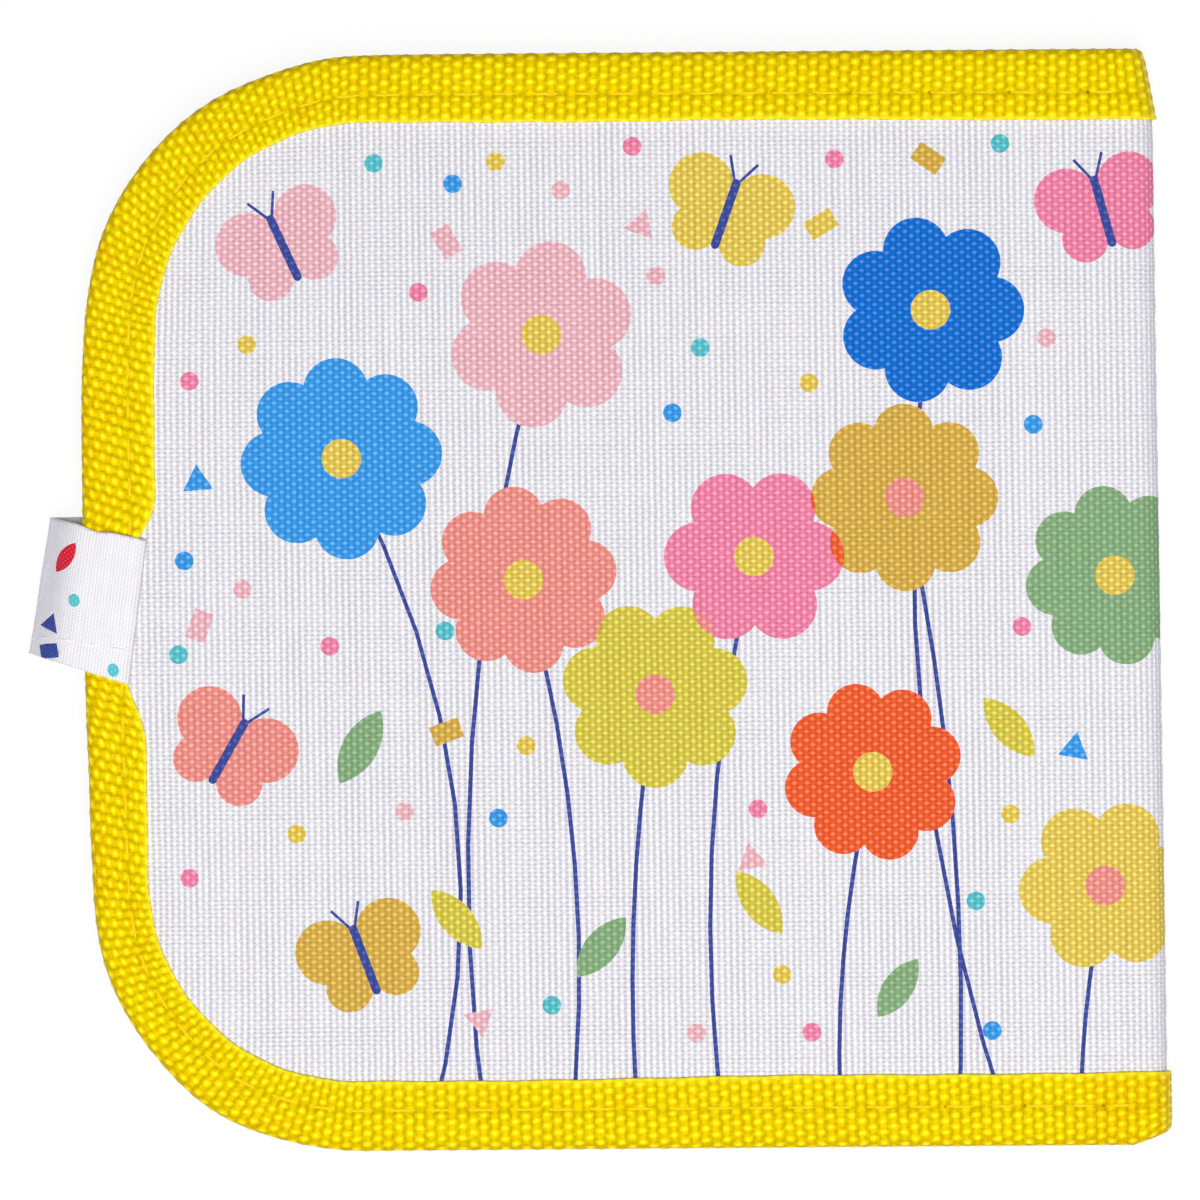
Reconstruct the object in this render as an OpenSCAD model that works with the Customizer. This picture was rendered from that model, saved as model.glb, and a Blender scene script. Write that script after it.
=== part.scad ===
// Soft wipe-clean book for drawing on, about 150 mm square.
// It lies closed on its back cover, with the spine at +X and the fore-edge at -X.
// X runs from the fore-edge to the spine, Y along the spine and Z up.

/* [Book] */
// Height of the book, along the spine
book_h = 152; // [130:1:220]
// Width of the closed book, from the fore-edge to the spine
book_w = 150; // [130:1:200]
// Outer radius of the two round corners at the fore-edge
corner_r = 38; // [24:1:50]

/* [Cover] */
// Thickness of the printed canvas
canvas_t = 0.6; // [0.4:0.1:1.2]
// Thickness of the lining inside the canvas
lining_t = 0.5; // [0.3:0.1:1.0]

/* [Pages] */
// Number of wipe-clean leaves
leaf_count = 8; // [6:1:16]
// Thickness of one leaf
leaf_t = 0.5; // [0.4:0.1:1.0]
// Gap between the leaves and the cover
page_gap = 0.2; // [0.1:0.1:0.6]
// Gap between the leaves' edges and the binding
page_margin = 1.5; // [1:0.5:6]

/* [Binding] */
// Thickness of the woven binding tape
tape_t = 0.7; // [0.5:0.1:1.2]
// Width of the tape that shows on each face
tape_w = 9.5; // [8:0.5:12]

/* [Seam] */
// Distance from the book's edge to the line of stitches
stitch_in = 5.5; // [4:0.5:6.5]
// Distance from one stitch to the next
stitch_pitch = 5.4; // [3:0.1:8]
// Length left between two stitches, where the thread dives in
stitch_gap = 1.2; // [0.8:0.1:2]
// Width of the sewing thread
thread_w = 0.6; // [0.4:0.1:0.8]
// Depth of the line that the stitches press into the tape
seam_depth = 0.4; // [0.3:0.05:0.45]

/* [Side loop] */
// Width of the canvas strap
loop_w = 20; // [12:1:30]
// Thickness of the strap
loop_t = 0.6; // [0.4:0.1:1]
// How far the loop stands out past the fore-edge
loop_reach = 7; // [6:0.5:15]
// How far the strap is caught under the seam, from the fore-edge
loop_hold = 8.5; // [7:0.5:11]
// Outer radius of the loop's folded end
loop_r = 1.5; // [1.1:0.1:2]
// Angle by which the strap lies askew
loop_turn = 8; // [0:1:10]
// Place of the loop along the fore-edge, from its middle
loop_y = 0; // [-15:1:15]
// Clearance between the strap and the back cover
loop_gap = 0.2; // [0.1:0.1:0.4]

/* [Print] */
// Length of one unit in the tables that lay out the printed design
print_unit = 1; // [0.8:0.05:1.3]
// Thickness of the printed ink
ink_t = 0.1; // [0.05:0.05:0.2]
// Width of the thin printed lines
line_w = 0.6; // [0.4:0.1:1.2]
// Diameter of the confetti dots
dot_d = 2.6; // [1.5:0.1:4]
// Length of a side of the confetti triangles
tri_w = 4.2; // [2:0.1:6]
// Length of the confetti squares
chip_l = 4.2; // [2:0.1:6]
// Width of the confetti squares
chip_w = 2.8; // [1:0.1:4]
// Span of a butterfly's wings
butterfly_w = 18; // [10:1:25]
// Diameter of the printed flowers' middles
eye_d = 5.5; // [3:0.5:8]

/* [Hidden] */
$fn = 48;

// Half heights, measured from the plane between the two covers
pages_h = leaf_count * leaf_t / 2;
lining_z = pages_h + page_gap;
canvas_z = lining_z + lining_t;
print_z = canvas_z + canvas_t;
half_h = print_z + tape_t;
tape_z = lining_z - tape_t;
mid_z = half_h;

// The tape's folded section
core_h = canvas_t + lining_t;
fold_h = core_h + 2 * tape_t;

// Plan: the loop is the book's leftmost piece, so the origin follows it
loop_over = loop_reach * cos(loop_turn) + max(0, loop_w / 2 * sin(loop_turn));
fore_x = (loop_over - book_w) / 2;
spine_x = fore_x + book_w;
fold_x = spine_x - half_h;
edge_y = book_h / 2;

// Seam line: straight, corner, straight, corner, straight
seam_r = corner_r - stitch_in;
groove_w = thread_w + 0.4;
thread_rest = seam_depth / 4;
long_run = fold_x - fore_x - corner_r;
side_run = book_h - 2 * corner_r;
arc_run = PI / 2 * seam_r;
seam_len = 2 * long_run + 2 * arc_run + side_run;
stitches = floor(seam_len / stitch_pitch);
stitch_step = seam_len / stitches;

// Strap heights, in the book's own Z
strap_top = mid_z + half_h;
strap_low = mid_z - tape_z + loop_gap;
strap_in = mid_z + tape_z;

// Row of stitches that holds the leaves, just under the hinge line
spine_drop = 12;
spine_r = print_z - thread_w / 4;
spine_len = book_h - 2 * tape_w - 2 * stitch_gap;
spine_count = floor(spine_len / stitch_pitch);

// Printed flowers: colour, distance from the spine, height, diameter, petals, turn
FRONT_FLOWERS = [
    ["sage", 7, 3, 25, 8, 10],
    ["yellow", 9, -40, 24, 6, 5],
    ["mustard", 36, 14, 26, 8, 0],
    ["lime", 71, -13, 26, 7, 12],
    ["coral", 89, 3, 26, 8, 8],
    ["pink", 86, 37, 26, 6, 20],
    ["orange", 41, -24, 25, 8, 15],
    ["blue", 114, 20, 28, 8, 4],
    ["deep_blue", 32, 40, 26, 7, 0],
    ["rose", 57, 6, 25, 6, 0]
];
BACK_FLOWERS = [
    ["sage", -7, 3, 25, 8, 10],
    ["yellow", -9, -40, 24, 6, 5],
    ["mustard", 30, -22, 26, 8, 0],
    ["lime", 104, -22, 26, 7, 12],
    ["coral", 66, 34, 26, 8, 8],
    ["pink", 34, 22, 26, 6, 20],
    ["blue", 78, -6, 28, 8, 4]
];
// Flowers whose overlap prints as a third colour: colour, first, second
FRONT_OVERLAPS = [["mustard", 3, 4], ["coral", 3, 9], ["orange", 2, 9]];
BACK_OVERLAPS = [["mustard", 4, 5]];
// Stems: flower's place, then foot and bow
FRONT_STEMS = [
    [114, 20, 104, -10], [86, 37, 95, 6], [89, 3, 84, -4], [71, -13, 74, 2],
    [57, 6, 62, 4], [36, 14, 30, -3], [32, 40, 22, 7], [41, -24, 46, 2], [9, -40, 13, 1]
];
BACK_STEMS = [[30, -22, 36, 2], [34, 22, 44, 5], [66, 34, 60, -7], [78, -6, 74, 3], [104, -22, 92, -5]];
// Leaves: distance from the spine, height, turn, length
FRONT_LEAVES = [
    ["sage", 112, -20, 60, 13], ["lime", 99, -44, 130, 12], ["sage", 79, -48, 50, 12],
    ["lime", 57, -42, 125, 12], ["sage", 38, -54, 55, 11], ["lime", 22, -18, 130, 12]
];
BACK_LEAVES = [["sage", 70, -38, 130, 12], ["lime", 54, -8, 60, 12], ["sage", 98, -48, 55, 12]];
// Butterflies: colour, distance from the spine, height, turn
FRONT_BUTTERFLIES = [
    ["pink", 122, 50, 25], ["yellow", 60, 54, -20], ["coral", 130, -20, -30],
    ["mustard", 112, -49, 20], ["rose", 8, 54, 15]
];
BACK_BUTTERFLIES = [["pink", 116, 30, 20], ["coral", 60, -50, -15], ["mustard", 98, 52, -25]];
// Confetti dots: colour, distance from the spine, height
FRONT_DOTS = [
    ["blue", 136, 6], ["blue", 98, 58], ["blue", 68, 26], ["blue", 93, -30], ["blue", 25, -60],
    ["blue", 18, 24], ["rose", 135, 31], ["rose", 103, 43], ["rose", 73, 63], ["rose", 45, 61],
    ["rose", 116, -6], ["rose", 57, -29], ["rose", 136, -38], ["rose", 50, -60], ["rose", 20, -4],
    ["pink", 83, 57], ["pink", 106, -29], ["pink", 70, 45], ["pink", 16, 36], ["pink", 66, -60],
    ["pink", 128, 2], ["teal", 109, 61], ["teal", 64, 35], ["teal", 22, 63], ["teal", 86, -56],
    ["teal", 137, -7], ["teal", 27, -42], ["teal", 100, -4], ["yellow", 92, 61], ["yellow", 49, 30],
    ["yellow", 121, -32], ["yellow", 127, 36], ["yellow", 89, -20], ["yellow", 54, -52],
    ["yellow", 22, -30]
];
BACK_DOTS = [
    ["blue", 128, 6], ["blue", 18, -12], ["blue", 88, 58], ["blue", 44, 50], ["coral", 128, -30],
    ["coral", 100, 10], ["coral", 52, 8], ["coral", 18, 42], ["pink", 112, 56], ["pink", 84, 30],
    ["pink", 84, -50], ["pink", 20, -58], ["mustard", 62, 60], ["mustard", 120, -6],
    ["mustard", 50, -34], ["mustard", 14, 20]
];
// Confetti triangles: colour, distance from the spine, height, turn
FRONT_TRIANGLES = [
    ["blue", 134, 17, 94], ["pink", 72, 52, 70], ["blue", 13, -21, 80], ["pink", 58, -36, 100],
    ["pink", 96, -58, 40]
];
// Confetti squares: colour, distance from the spine, height, turn
FRONT_CHIPS = [
    ["mustard", 100, -18, 20], ["pink", 99, 50, -60], ["yellow", 47, 52, 30], ["pink", 134, -3, 70],
    ["mustard", 32, 61, -35]
];
// Marks on the strap, from the fore-edge and the strap's middle: shares of its reach or hold, and of its width
LOOP_LEAF = [-0.5, 0.26];
LOOP_LEAF_SHARE = 0.3;
LOOP_DOT = [-0.17, -0.02];
LOOP_CORNER_DOT = [0.75, -0.415];
LOOP_TRIANGLE = [-0.63, -0.23];
LOOP_CHIP = [-0.57, -0.42];
// Size of the strap's marks beside the confetti's
loop_mark = 0.7;

// The tape folded over the cover's edge: x runs inward from the edge
module tape_section() {
    difference() {
        union() {
            translate([fold_h / 2, 0]) circle(d = fold_h);
            translate([fold_h / 2, -fold_h / 2]) square([tape_w - fold_h / 2, fold_h]);
        }
        translate([tape_t, -core_h / 2]) square([tape_w, core_h]);
        translate([stitch_in - groove_w / 2, fold_h / 2 - seam_depth]) square([groove_w, seam_depth]);
    }
}

// The thread that rests along the bottom of the stitch line
module thread_section() {
    translate([stitch_in - thread_w / 2, fold_h / 2 - seam_depth]) square([thread_w, thread_rest]);
}

// Sweeps a section along the three free edges of a cover, at the height of its tape
module along_edges() {
    translate([0, 0, half_h - fold_h / 2]) {
        translate([fore_x, edge_y - corner_r, 0]) rotate([90, 0, 0]) linear_extrude(side_run) children();
        for (s = [0, 1]) mirror([0, s, 0]) {
            translate([fore_x + corner_r, -edge_y, 0]) rotate([90, 0, 90])
                linear_extrude(long_run) children();
            translate([fore_x + corner_r, corner_r - edge_y, 0]) rotate([0, 0, 180])
                rotate_extrude(angle = 90) translate([corner_r, 0]) mirror([1, 0]) children();
        }
    }
}

// A quarter turn of the tape round the spine, at both ends
module tape_wrap() {
    for (s = [0, 1]) mirror([0, s, 0])
        translate([fold_x, -edge_y, 0]) rotate([-90, 0, 0]) rotate([0, 0, -90])
            rotate_extrude(angle = 90) translate([half_h - fold_h / 2, 0]) mirror([1, -1]) tape_section();
}

module half_binding() {
    along_edges() tape_section();
    tape_wrap();
}

// A cover's outline, smaller all round by a margin, up to a line near the spine
module outline(margin, right) {
    r = corner_r - margin;
    left = fore_x + margin;
    top = edge_y - margin;
    translate([left + r, -top]) square([right - left - r, 2 * top]);
    translate([left, r - top]) square([right - left, 2 * (top - r)]);
    for (s = [-1, 1]) translate([left + r, s * (top - r)]) circle(r);
}

// One sheet of a cover with its quarter turn round the spine
module sheet(z, t) {
    translate([0, 0, z]) linear_extrude(t) outline(tape_t, fold_x);
    translate([fold_x, tape_t - edge_y, 0]) rotate([-90, 0, 0]) rotate([0, 0, -90])
        rotate_extrude(angle = 90) translate([z, 0]) square([t, book_h - 2 * tape_t]);
}

// Place and direction of a point on the seam line, by its distance along it
function seam_at(s) =
    s < long_run ? [fold_x - s, edge_y - stitch_in, 0] :
    s < long_run + arc_run ? corner_at((s - long_run) / seam_r * 180 / PI, 1) :
    s < long_run + arc_run + side_run ?
        [fore_x + stitch_in, edge_y - corner_r - (s - long_run - arc_run), 90] :
    s < seam_len - long_run ?
        corner_at(90 - (s - long_run - arc_run - side_run) / seam_r * 180 / PI, -1) :
    [fold_x - (seam_len - s), stitch_in - edge_y, 0];
function corner_at(a, side) = [
    fore_x + corner_r - seam_r * sin(a), side * (edge_y - corner_r + seam_r * cos(a)), side * a
];

// A stitch: a bar with round ends, lying along X
module stitch(t) {
    l = stitch_step - stitch_gap - thread_w;
    linear_extrude(t) {
        translate([-l / 2, -thread_w / 2]) square([l, thread_w]);
        for (s = [-1, 1]) translate([s * l / 2, 0]) circle(d = thread_w);
    }
}

module half_seam() {
    along_edges() thread_section();
    for (i = [0 : stitches - 1]) {
        p = seam_at((i + 0.5) * stitch_step);
        translate([p[0], p[1], half_h - seam_depth + thread_rest]) rotate([0, 0, p[2]])
            stitch(seam_depth - thread_rest);
    }
}

// Place of an entry of the tables on a cover, from the middle of the spine
function place(p) = [-p[1], p[2]] * print_unit;

module petals(d, n) {
    k = 1.25 * sin(180 / n);
    reach = d / 2 / (1 + k);
    circle(reach);
    for (i = [0 : n - 1]) rotate([0, 0, i * 360 / n]) translate([reach, 0]) circle(reach * k);
}

module flower(f) {
    translate(place(f)) rotate([0, 0, f[5]]) petals(f[3] * print_unit, f[4]);
}

module wings(b) {
    w = butterfly_w;
    translate(place(b)) rotate([0, 0, b[3]]) {
        circle(w * 0.13);
        for (s = [-1, 1]) {
            translate([s * w * 0.25, w * 0.12]) circle(w * 0.25);
            translate([s * w * 0.19, -w * 0.2]) circle(w * 0.18);
        }
    }
}

module insect_body(b) {
    w = butterfly_w;
    translate(place(b)) rotate([0, 0, b[3]]) {
        translate([-line_w, -w * 0.28]) square([2 * line_w, w * 0.5]);
        for (s = [-1, 1]) translate([0, w * (s * 0.25 - 0.03)]) circle(line_w);
        for (s = [-1, 1]) translate([0, w * 0.2]) rotate([0, 0, s * 28])
            translate([-line_w / 3, 0]) square([line_w * 2 / 3, w * 0.24]);
    }
}

module leaf_shape(l) {
    r = l * 0.62;
    intersection() {
        translate([0, r - l * 0.19]) circle(r);
        translate([0, l * 0.19 - r]) circle(r);
    }
}

module leaf(f) {
    translate(place(f)) rotate([0, 0, f[3]]) leaf_shape(f[4] * print_unit);
}

// A stem from a flower to the foot of the cover, bowed sideways
function bow(s, t) = [
    -(s[0] + (s[2] - s[0]) * t + s[3] * 4 * t * (1 - t)) * print_unit,
    s[1] * print_unit * (1 - t) - edge_y * t
];
module stem(s) {
    steps = [for (i = [0 : 8]) bow(s, i / 8)];
    polygon(concat(
        [for (p = steps) p - [line_w / 2, 0]],
        [for (i = [8 : -1 : 0]) steps[i] + [line_w / 2, 0]]
    ));
}

module confetti(c, dots, triangles, chips) {
    for (p = dots) if (c == "any" || p[0] == c) translate(place(p)) circle(d = dot_d, $fn = 16);
    for (p = triangles) if (c == "any" || p[0] == c) translate(place(p)) rotate([0, 0, p[3]])
        circle(tri_w / sqrt(3), $fn = 3);
    for (p = chips) if (c == "any" || p[0] == c) translate(place(p)) rotate([0, 0, p[3]])
        square([chip_l, chip_w], center = true);
}

// The eye of a flower is coral on the yellow family and yellow on all others
function eye(c) = c == "yellow" || c == "mustard" || c == "lime" ? "coral" : "yellow";

// One colour of a cover's print, with the colours printed over it left out
module colour(c, flowers, overlaps, leaves, butterflies) {
    for (i = [0 : len(flowers) - 1]) if (flowers[i][0] == c) difference() {
        flower(flowers[i]);
        translate(place(flowers[i])) circle(d = eye_d);
        for (j = [i + 1 : 1 : len(flowers) - 1]) if (meet(flowers[i], flowers[j])) flower(flowers[j]);
        for (o = overlaps) if (i == o[2]) flower(flowers[o[1]]);
    }
    for (o = overlaps) if (o[0] == c) difference() {
        intersection() {
            flower(flowers[o[1]]);
            flower(flowers[o[2]]);
        }
        for (j = [o[2] + 1 : 1 : len(flowers) - 1]) if (meet(flowers[o[1]], flowers[j])) flower(flowers[j]);
    }
    for (f = flowers) if (eye(f[0]) == c) translate(place(f)) circle(d = eye_d);
    for (f = leaves) if (f[0] == c) leaf(f);
    for (b = butterflies) if (b[0] == c) difference() {
        wings(b);
        insect_body(b);
    }
}
function meet(a, b) = norm(place(a) - place(b)) < (a[3] + b[3]) / 2 * print_unit;

// The thin lines: stems behind everything else, and the butterflies' bodies
module lines(stems, butterflies) {
    difference() {
        for (s = stems) stem(s);
        children();
        for (b = butterflies) wings(b);
    }
    for (b = butterflies) insect_body(b);
}

// Lays flat shapes on the canvas inside the tape, and round the spine's quarter turn
module ink(round_spine) {
    translate([0, 0, print_z]) linear_extrude(ink_t) intersection() {
        translate([spine_x, 0]) children();
        outline(tape_w, fold_x);
    }
    if (round_spine) intersection() {
        translate([fold_x, 0, 0]) rotate([90, 0, 0]) difference() {
            cylinder(r = print_z + ink_t, h = book_h - 2 * tape_w, center = true);
            cylinder(r = print_z, h = book_h, center = true);
        }
        translate([fold_x, tape_w - edge_y, 0]) cube([half_h, book_h - 2 * tape_w, half_h]);
        linear_extrude(half_h) translate([spine_x, 0]) children();
    }
}

module front_ink(c, round_spine = false) {
    translate([0, 0, mid_z]) ink(round_spine) {
        colour(c, FRONT_FLOWERS, FRONT_OVERLAPS, FRONT_LEAVES, FRONT_BUTTERFLIES);
        confetti(c, FRONT_DOTS, FRONT_TRIANGLES, FRONT_CHIPS);
    }
}

module back_ink(c, round_spine = false) {
    under() ink(round_spine) {
        colour(c, BACK_FLOWERS, BACK_OVERLAPS, BACK_LEAVES, BACK_BUTTERFLIES);
        confetti(c, BACK_DOTS, [], []);
    }
}

// The back cover is the front cover seen in the plane between them
module under() translate([0, 0, mid_z]) mirror([0, 0, 1]) children();

module front_binding() color("#f2d80d") translate([0, 0, mid_z]) half_binding();
module back_binding() color("#f2d80d") under() half_binding();
module front_canvas() color("#f2f2f5") translate([0, 0, mid_z]) sheet(canvas_z, canvas_t);
module front_lining() color("#f7f7f4") translate([0, 0, mid_z]) sheet(lining_z, lining_t);
module back_lining() color("#f7f7f4") under() sheet(lining_z, lining_t);
module front_seam() color("#f5d300") translate([0, 0, mid_z]) half_seam();
module back_seam() color("#f5d300") under() half_seam();

// Places children in the spine's canvas, along the row of stitches
module along_spine() {
    for (i = [0 : spine_count - 1])
        translate([fold_x, (i - (spine_count - 1) / 2) * stitch_pitch, mid_z])
            rotate([0, spine_drop, 0]) translate([spine_r, 0, 0]) rotate([90, 0, 0]) children();
}

module spine_stitches() along_spine() cylinder(d = thread_w, h = stitch_pitch - stitch_gap, center = true);

module back_canvas() color("#f2f2f5") difference() {
    under() sheet(canvas_z, canvas_t);
    spine_stitches();
}

module spine_seam() color("#f7f7f7") spine_stitches();

module pages() color("#fbfbf8") {
    edge = tape_w + page_margin;
    translate([0, 0, mid_z - pages_h]) linear_extrude(2 * pages_h) outline(edge, fold_x);
    translate([fold_x, 0, mid_z]) rotate([90, 0, 0]) cylinder(r = pages_h, h = book_h - 2 * edge, center = true);
}

// Turns and places the strap about the middle of its stretch of the fore-edge
module strap_place() translate([fore_x, loop_y, 0]) rotate([0, 0, -loop_turn]) children();

// A box with two round corners at its left
module folded_end(x, right, low, high, r) {
    translate([x + r, low]) square([right - x - r, high - low]);
    translate([x, low + r]) square([right - x, high - low - 2 * r]);
    for (z = [low + r, high - r]) translate([x + r, z]) circle(r);
}

// The strap's profile: over the tape, round the folded end and back under the same cover
module strap_profile() {
    mouth = fold_h;
    difference() {
        folded_end(-loop_reach, mouth / 2, strap_low, strap_top + loop_t, loop_r);
        folded_end(loop_t - loop_reach, mouth, strap_low + loop_t, strap_top, loop_r - loop_t);
    }
    translate([mouth / 2, strap_top]) square([loop_hold - mouth / 2, loop_t]);
    polygon([
        [mouth / 2, strap_low], [mouth, strap_low], [loop_hold / 2, strap_in - loop_t],
        [loop_hold, strap_in - loop_t], [loop_hold, strap_in], [loop_hold / 2 - loop_t, strap_in],
        [mouth - loop_t, strap_low + loop_t], [mouth / 2, strap_low + loop_t]
    ]);
}

module side_loop() color("#f5f5f3") strap_place()
    translate([0, loop_w / 2, 0]) rotate([90, 0, 0]) linear_extrude(loop_w) strap_profile();

// Shapes on the strap's upper face
module strap_ink() strap_place() translate([0, 0, strap_top + loop_t]) linear_extrude(ink_t) children();
function strap_spot(m) = [m[0] * (m[0] < 0 ? loop_reach : loop_hold), m[1] * loop_w];
module loop_print_coral() color("#ef4a4a") strap_ink()
    translate(strap_spot(LOOP_LEAF)) rotate([0, 0, 62]) leaf_shape(loop_w * LOOP_LEAF_SHARE);
module loop_print_teal() color("#6cc7cf") strap_ink()
    for (m = [LOOP_DOT, LOOP_CORNER_DOT]) translate(strap_spot(m)) circle(d = dot_d * loop_mark, $fn = 16);
module loop_print_navy() color("#3c4fa0") strap_ink() {
    translate(strap_spot(LOOP_TRIANGLE)) rotate([0, 0, 80]) circle(tri_w / sqrt(3) * loop_mark, $fn = 3);
    translate(strap_spot(LOOP_CHIP)) rotate([0, 0, 20]) square([chip_l, chip_w] * loop_mark, center = true);
}

module front_print_blue() color("#429de7") front_ink("blue");
module front_print_deep_blue() color("#0f75d4") front_ink("deep_blue");
module front_print_teal() color("#5cc6cd") front_ink("teal");
module front_print_coral() color("#ee978b") front_ink("coral");
module front_print_pink() color("#eab8c1") front_ink("pink");
module front_print_rose() color("#f18baf") front_ink("rose", true);
module front_print_orange() color("#ef6035") front_ink("orange");
module front_print_mustard() color("#d5ad4f") front_ink("mustard");
module front_print_lime() color("#d7c952") front_ink("lime");
module front_print_sage() color("#8bb182") front_ink("sage", true);
module front_print_yellow() color("#e6ca5a") front_ink("yellow", true);
module front_print_navy() color("#3a55a5") translate([0, 0, mid_z]) ink(false)
    lines(FRONT_STEMS, FRONT_BUTTERFLIES) {
        for (f = FRONT_FLOWERS) flower(f);
        for (f = FRONT_LEAVES) leaf(f);
        confetti("any", FRONT_DOTS, FRONT_TRIANGLES, FRONT_CHIPS);
    }
module back_print_blue() color("#429de7") back_ink("blue");
module back_print_coral() color("#ee978b") back_ink("coral");
module back_print_pink() color("#eab8c1") back_ink("pink");
module back_print_mustard() color("#d5ad4f") back_ink("mustard");
module back_print_lime() color("#d7c952") back_ink("lime");
module back_print_sage() color("#8bb182") difference() {
    back_ink("sage", true);
    spine_stitches();
}
module back_print_yellow() color("#e6ca5a") difference() {
    back_ink("yellow", true);
    spine_stitches();
}
module back_print_navy() color("#3a55a5") under() ink(false)
    lines(BACK_STEMS, BACK_BUTTERFLIES) {
        for (f = BACK_FLOWERS) flower(f);
        for (f = BACK_LEAVES) leaf(f);
        confetti("any", BACK_DOTS, [], []);
    }

back_binding();
back_canvas();
back_lining();
back_seam();
back_print_blue();
back_print_coral();
back_print_pink();
back_print_mustard();
back_print_lime();
back_print_sage();
back_print_yellow();
back_print_navy();
pages();
spine_seam();
front_binding();
front_canvas();
front_lining();
front_seam();
front_print_blue();
front_print_deep_blue();
front_print_teal();
front_print_coral();
front_print_pink();
front_print_rose();
front_print_orange();
front_print_mustard();
front_print_lime();
front_print_sage();
front_print_yellow();
front_print_navy();
side_loop();
loop_print_coral();
loop_print_teal();
loop_print_navy();
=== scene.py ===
# %% [markdown]
# # A soft wipe-clean book
# The book is two soft covers cut from one printed canvas, lined with white vinyl, bound all round
# with a yellow woven tape and folded in the middle round a few white leaves. A small canvas loop
# stands out at the fore-edge.
#
# Nearly everything on such a book is cut and sewn flat and then folded. So each piece here is drawn
# on the open cover, in a flat plane (u along the book, v up the spine), and one function folds it.

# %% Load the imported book
import math

import bpy
import numpy as np
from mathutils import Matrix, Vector
from mathutils.bvhtree import BVHTree
from mathutils.geometry import delaunay_2d_cdt


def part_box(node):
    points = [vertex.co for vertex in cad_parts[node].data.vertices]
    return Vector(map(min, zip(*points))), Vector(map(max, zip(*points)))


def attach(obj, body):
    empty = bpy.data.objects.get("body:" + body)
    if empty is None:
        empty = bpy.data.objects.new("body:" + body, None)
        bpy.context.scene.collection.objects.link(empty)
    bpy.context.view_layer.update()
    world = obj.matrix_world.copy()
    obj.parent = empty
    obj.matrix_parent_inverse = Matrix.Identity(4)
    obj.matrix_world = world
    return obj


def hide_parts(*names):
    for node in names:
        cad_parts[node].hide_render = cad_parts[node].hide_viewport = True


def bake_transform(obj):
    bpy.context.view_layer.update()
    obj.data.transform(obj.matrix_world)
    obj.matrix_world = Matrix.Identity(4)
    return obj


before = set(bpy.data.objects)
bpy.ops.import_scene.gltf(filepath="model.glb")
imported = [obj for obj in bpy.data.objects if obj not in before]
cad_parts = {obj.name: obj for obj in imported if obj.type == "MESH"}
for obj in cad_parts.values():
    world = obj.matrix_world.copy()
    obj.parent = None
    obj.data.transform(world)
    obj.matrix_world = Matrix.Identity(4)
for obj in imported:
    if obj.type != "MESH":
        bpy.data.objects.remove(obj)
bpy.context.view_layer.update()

MM = 0.001

# %% [markdown]
# ## Sizes
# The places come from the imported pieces, so that the dressed book lies exactly on them. `h` is a
# height above the plane between the two covers, and it points outwards on both covers.

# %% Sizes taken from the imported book
tape_low, tape_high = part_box("front_binding")
FORE, SPINE, EDGE = tape_low.x, tape_high.x, tape_high.y
MID, TOP = tape_low.z, tape_high.z
OUTER = TOP - MID
FOLD = SPINE - OUTER
CANVAS_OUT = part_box("front_canvas")[1].z - MID
CANVAS_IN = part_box("front_lining")[1].z - MID
PAGES_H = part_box("pages")[1].z - MID
PAGES_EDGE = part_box("pages")[1].y
CORNER = 38 * MM  # radius of the fore-edge's corners
TAPE_T = 0.7 * MM
LINING_IN = CANVAS_IN - 0.5 * MM
FOLDED = 2 * TAPE_T + CANVAS_OUT - LINING_IN  # the edge with the tape folded round it
SKEW = 0.0078  # how far the long edges slope, as a share of the distance
ARC = math.pi / 2 * CANVAS_OUT  # from the middle of the spine to where a cover starts
HALF = ARC + FOLD - FORE  # from the middle of the spine to the fore-edge
PULLS = [  # places off the fore-edge's middle, how far a pull reaches and what it moves, all in mm
    (10, 61.5, 22, 0.75, -0.6),
    (0, 43, 9, 0.55, 0),
    (0, -40, 9, 0.65, 0),
    (0, -25, 8, 0.3, 0),
    (18, -70, 9, -0.5, -0.4),
    (27, 73, 9, 0.2, -0.6),
]
print("half of the open cover is %.1f mm wide" % (HALF / MM))


# %% [markdown]
# ## The fold
# A cover is sewn flat and then folded round the leaves. The canvas's outer face goes half-way round
# the spine, so the first part of `u` turns with it and the rest lies flat on a cover. A last step
# pulls the whole a little out of square, as sewing does.

# %% The fold: from the open cover to the closed book
def fold(u, v, h):
    """Points u, v on the open cover, at height h, as x, y, z on the closed book."""
    u, v, h = np.broadcast_arrays(u, v, h)
    turn = np.clip((u + ARC) / CANVAS_OUT, 0, math.pi)
    run = np.maximum(np.abs(u) - ARC, 0)
    return settle(np.stack([FOLD - run + h * np.sin(turn), v, MID + h * np.cos(turn)], axis=-1))


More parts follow.
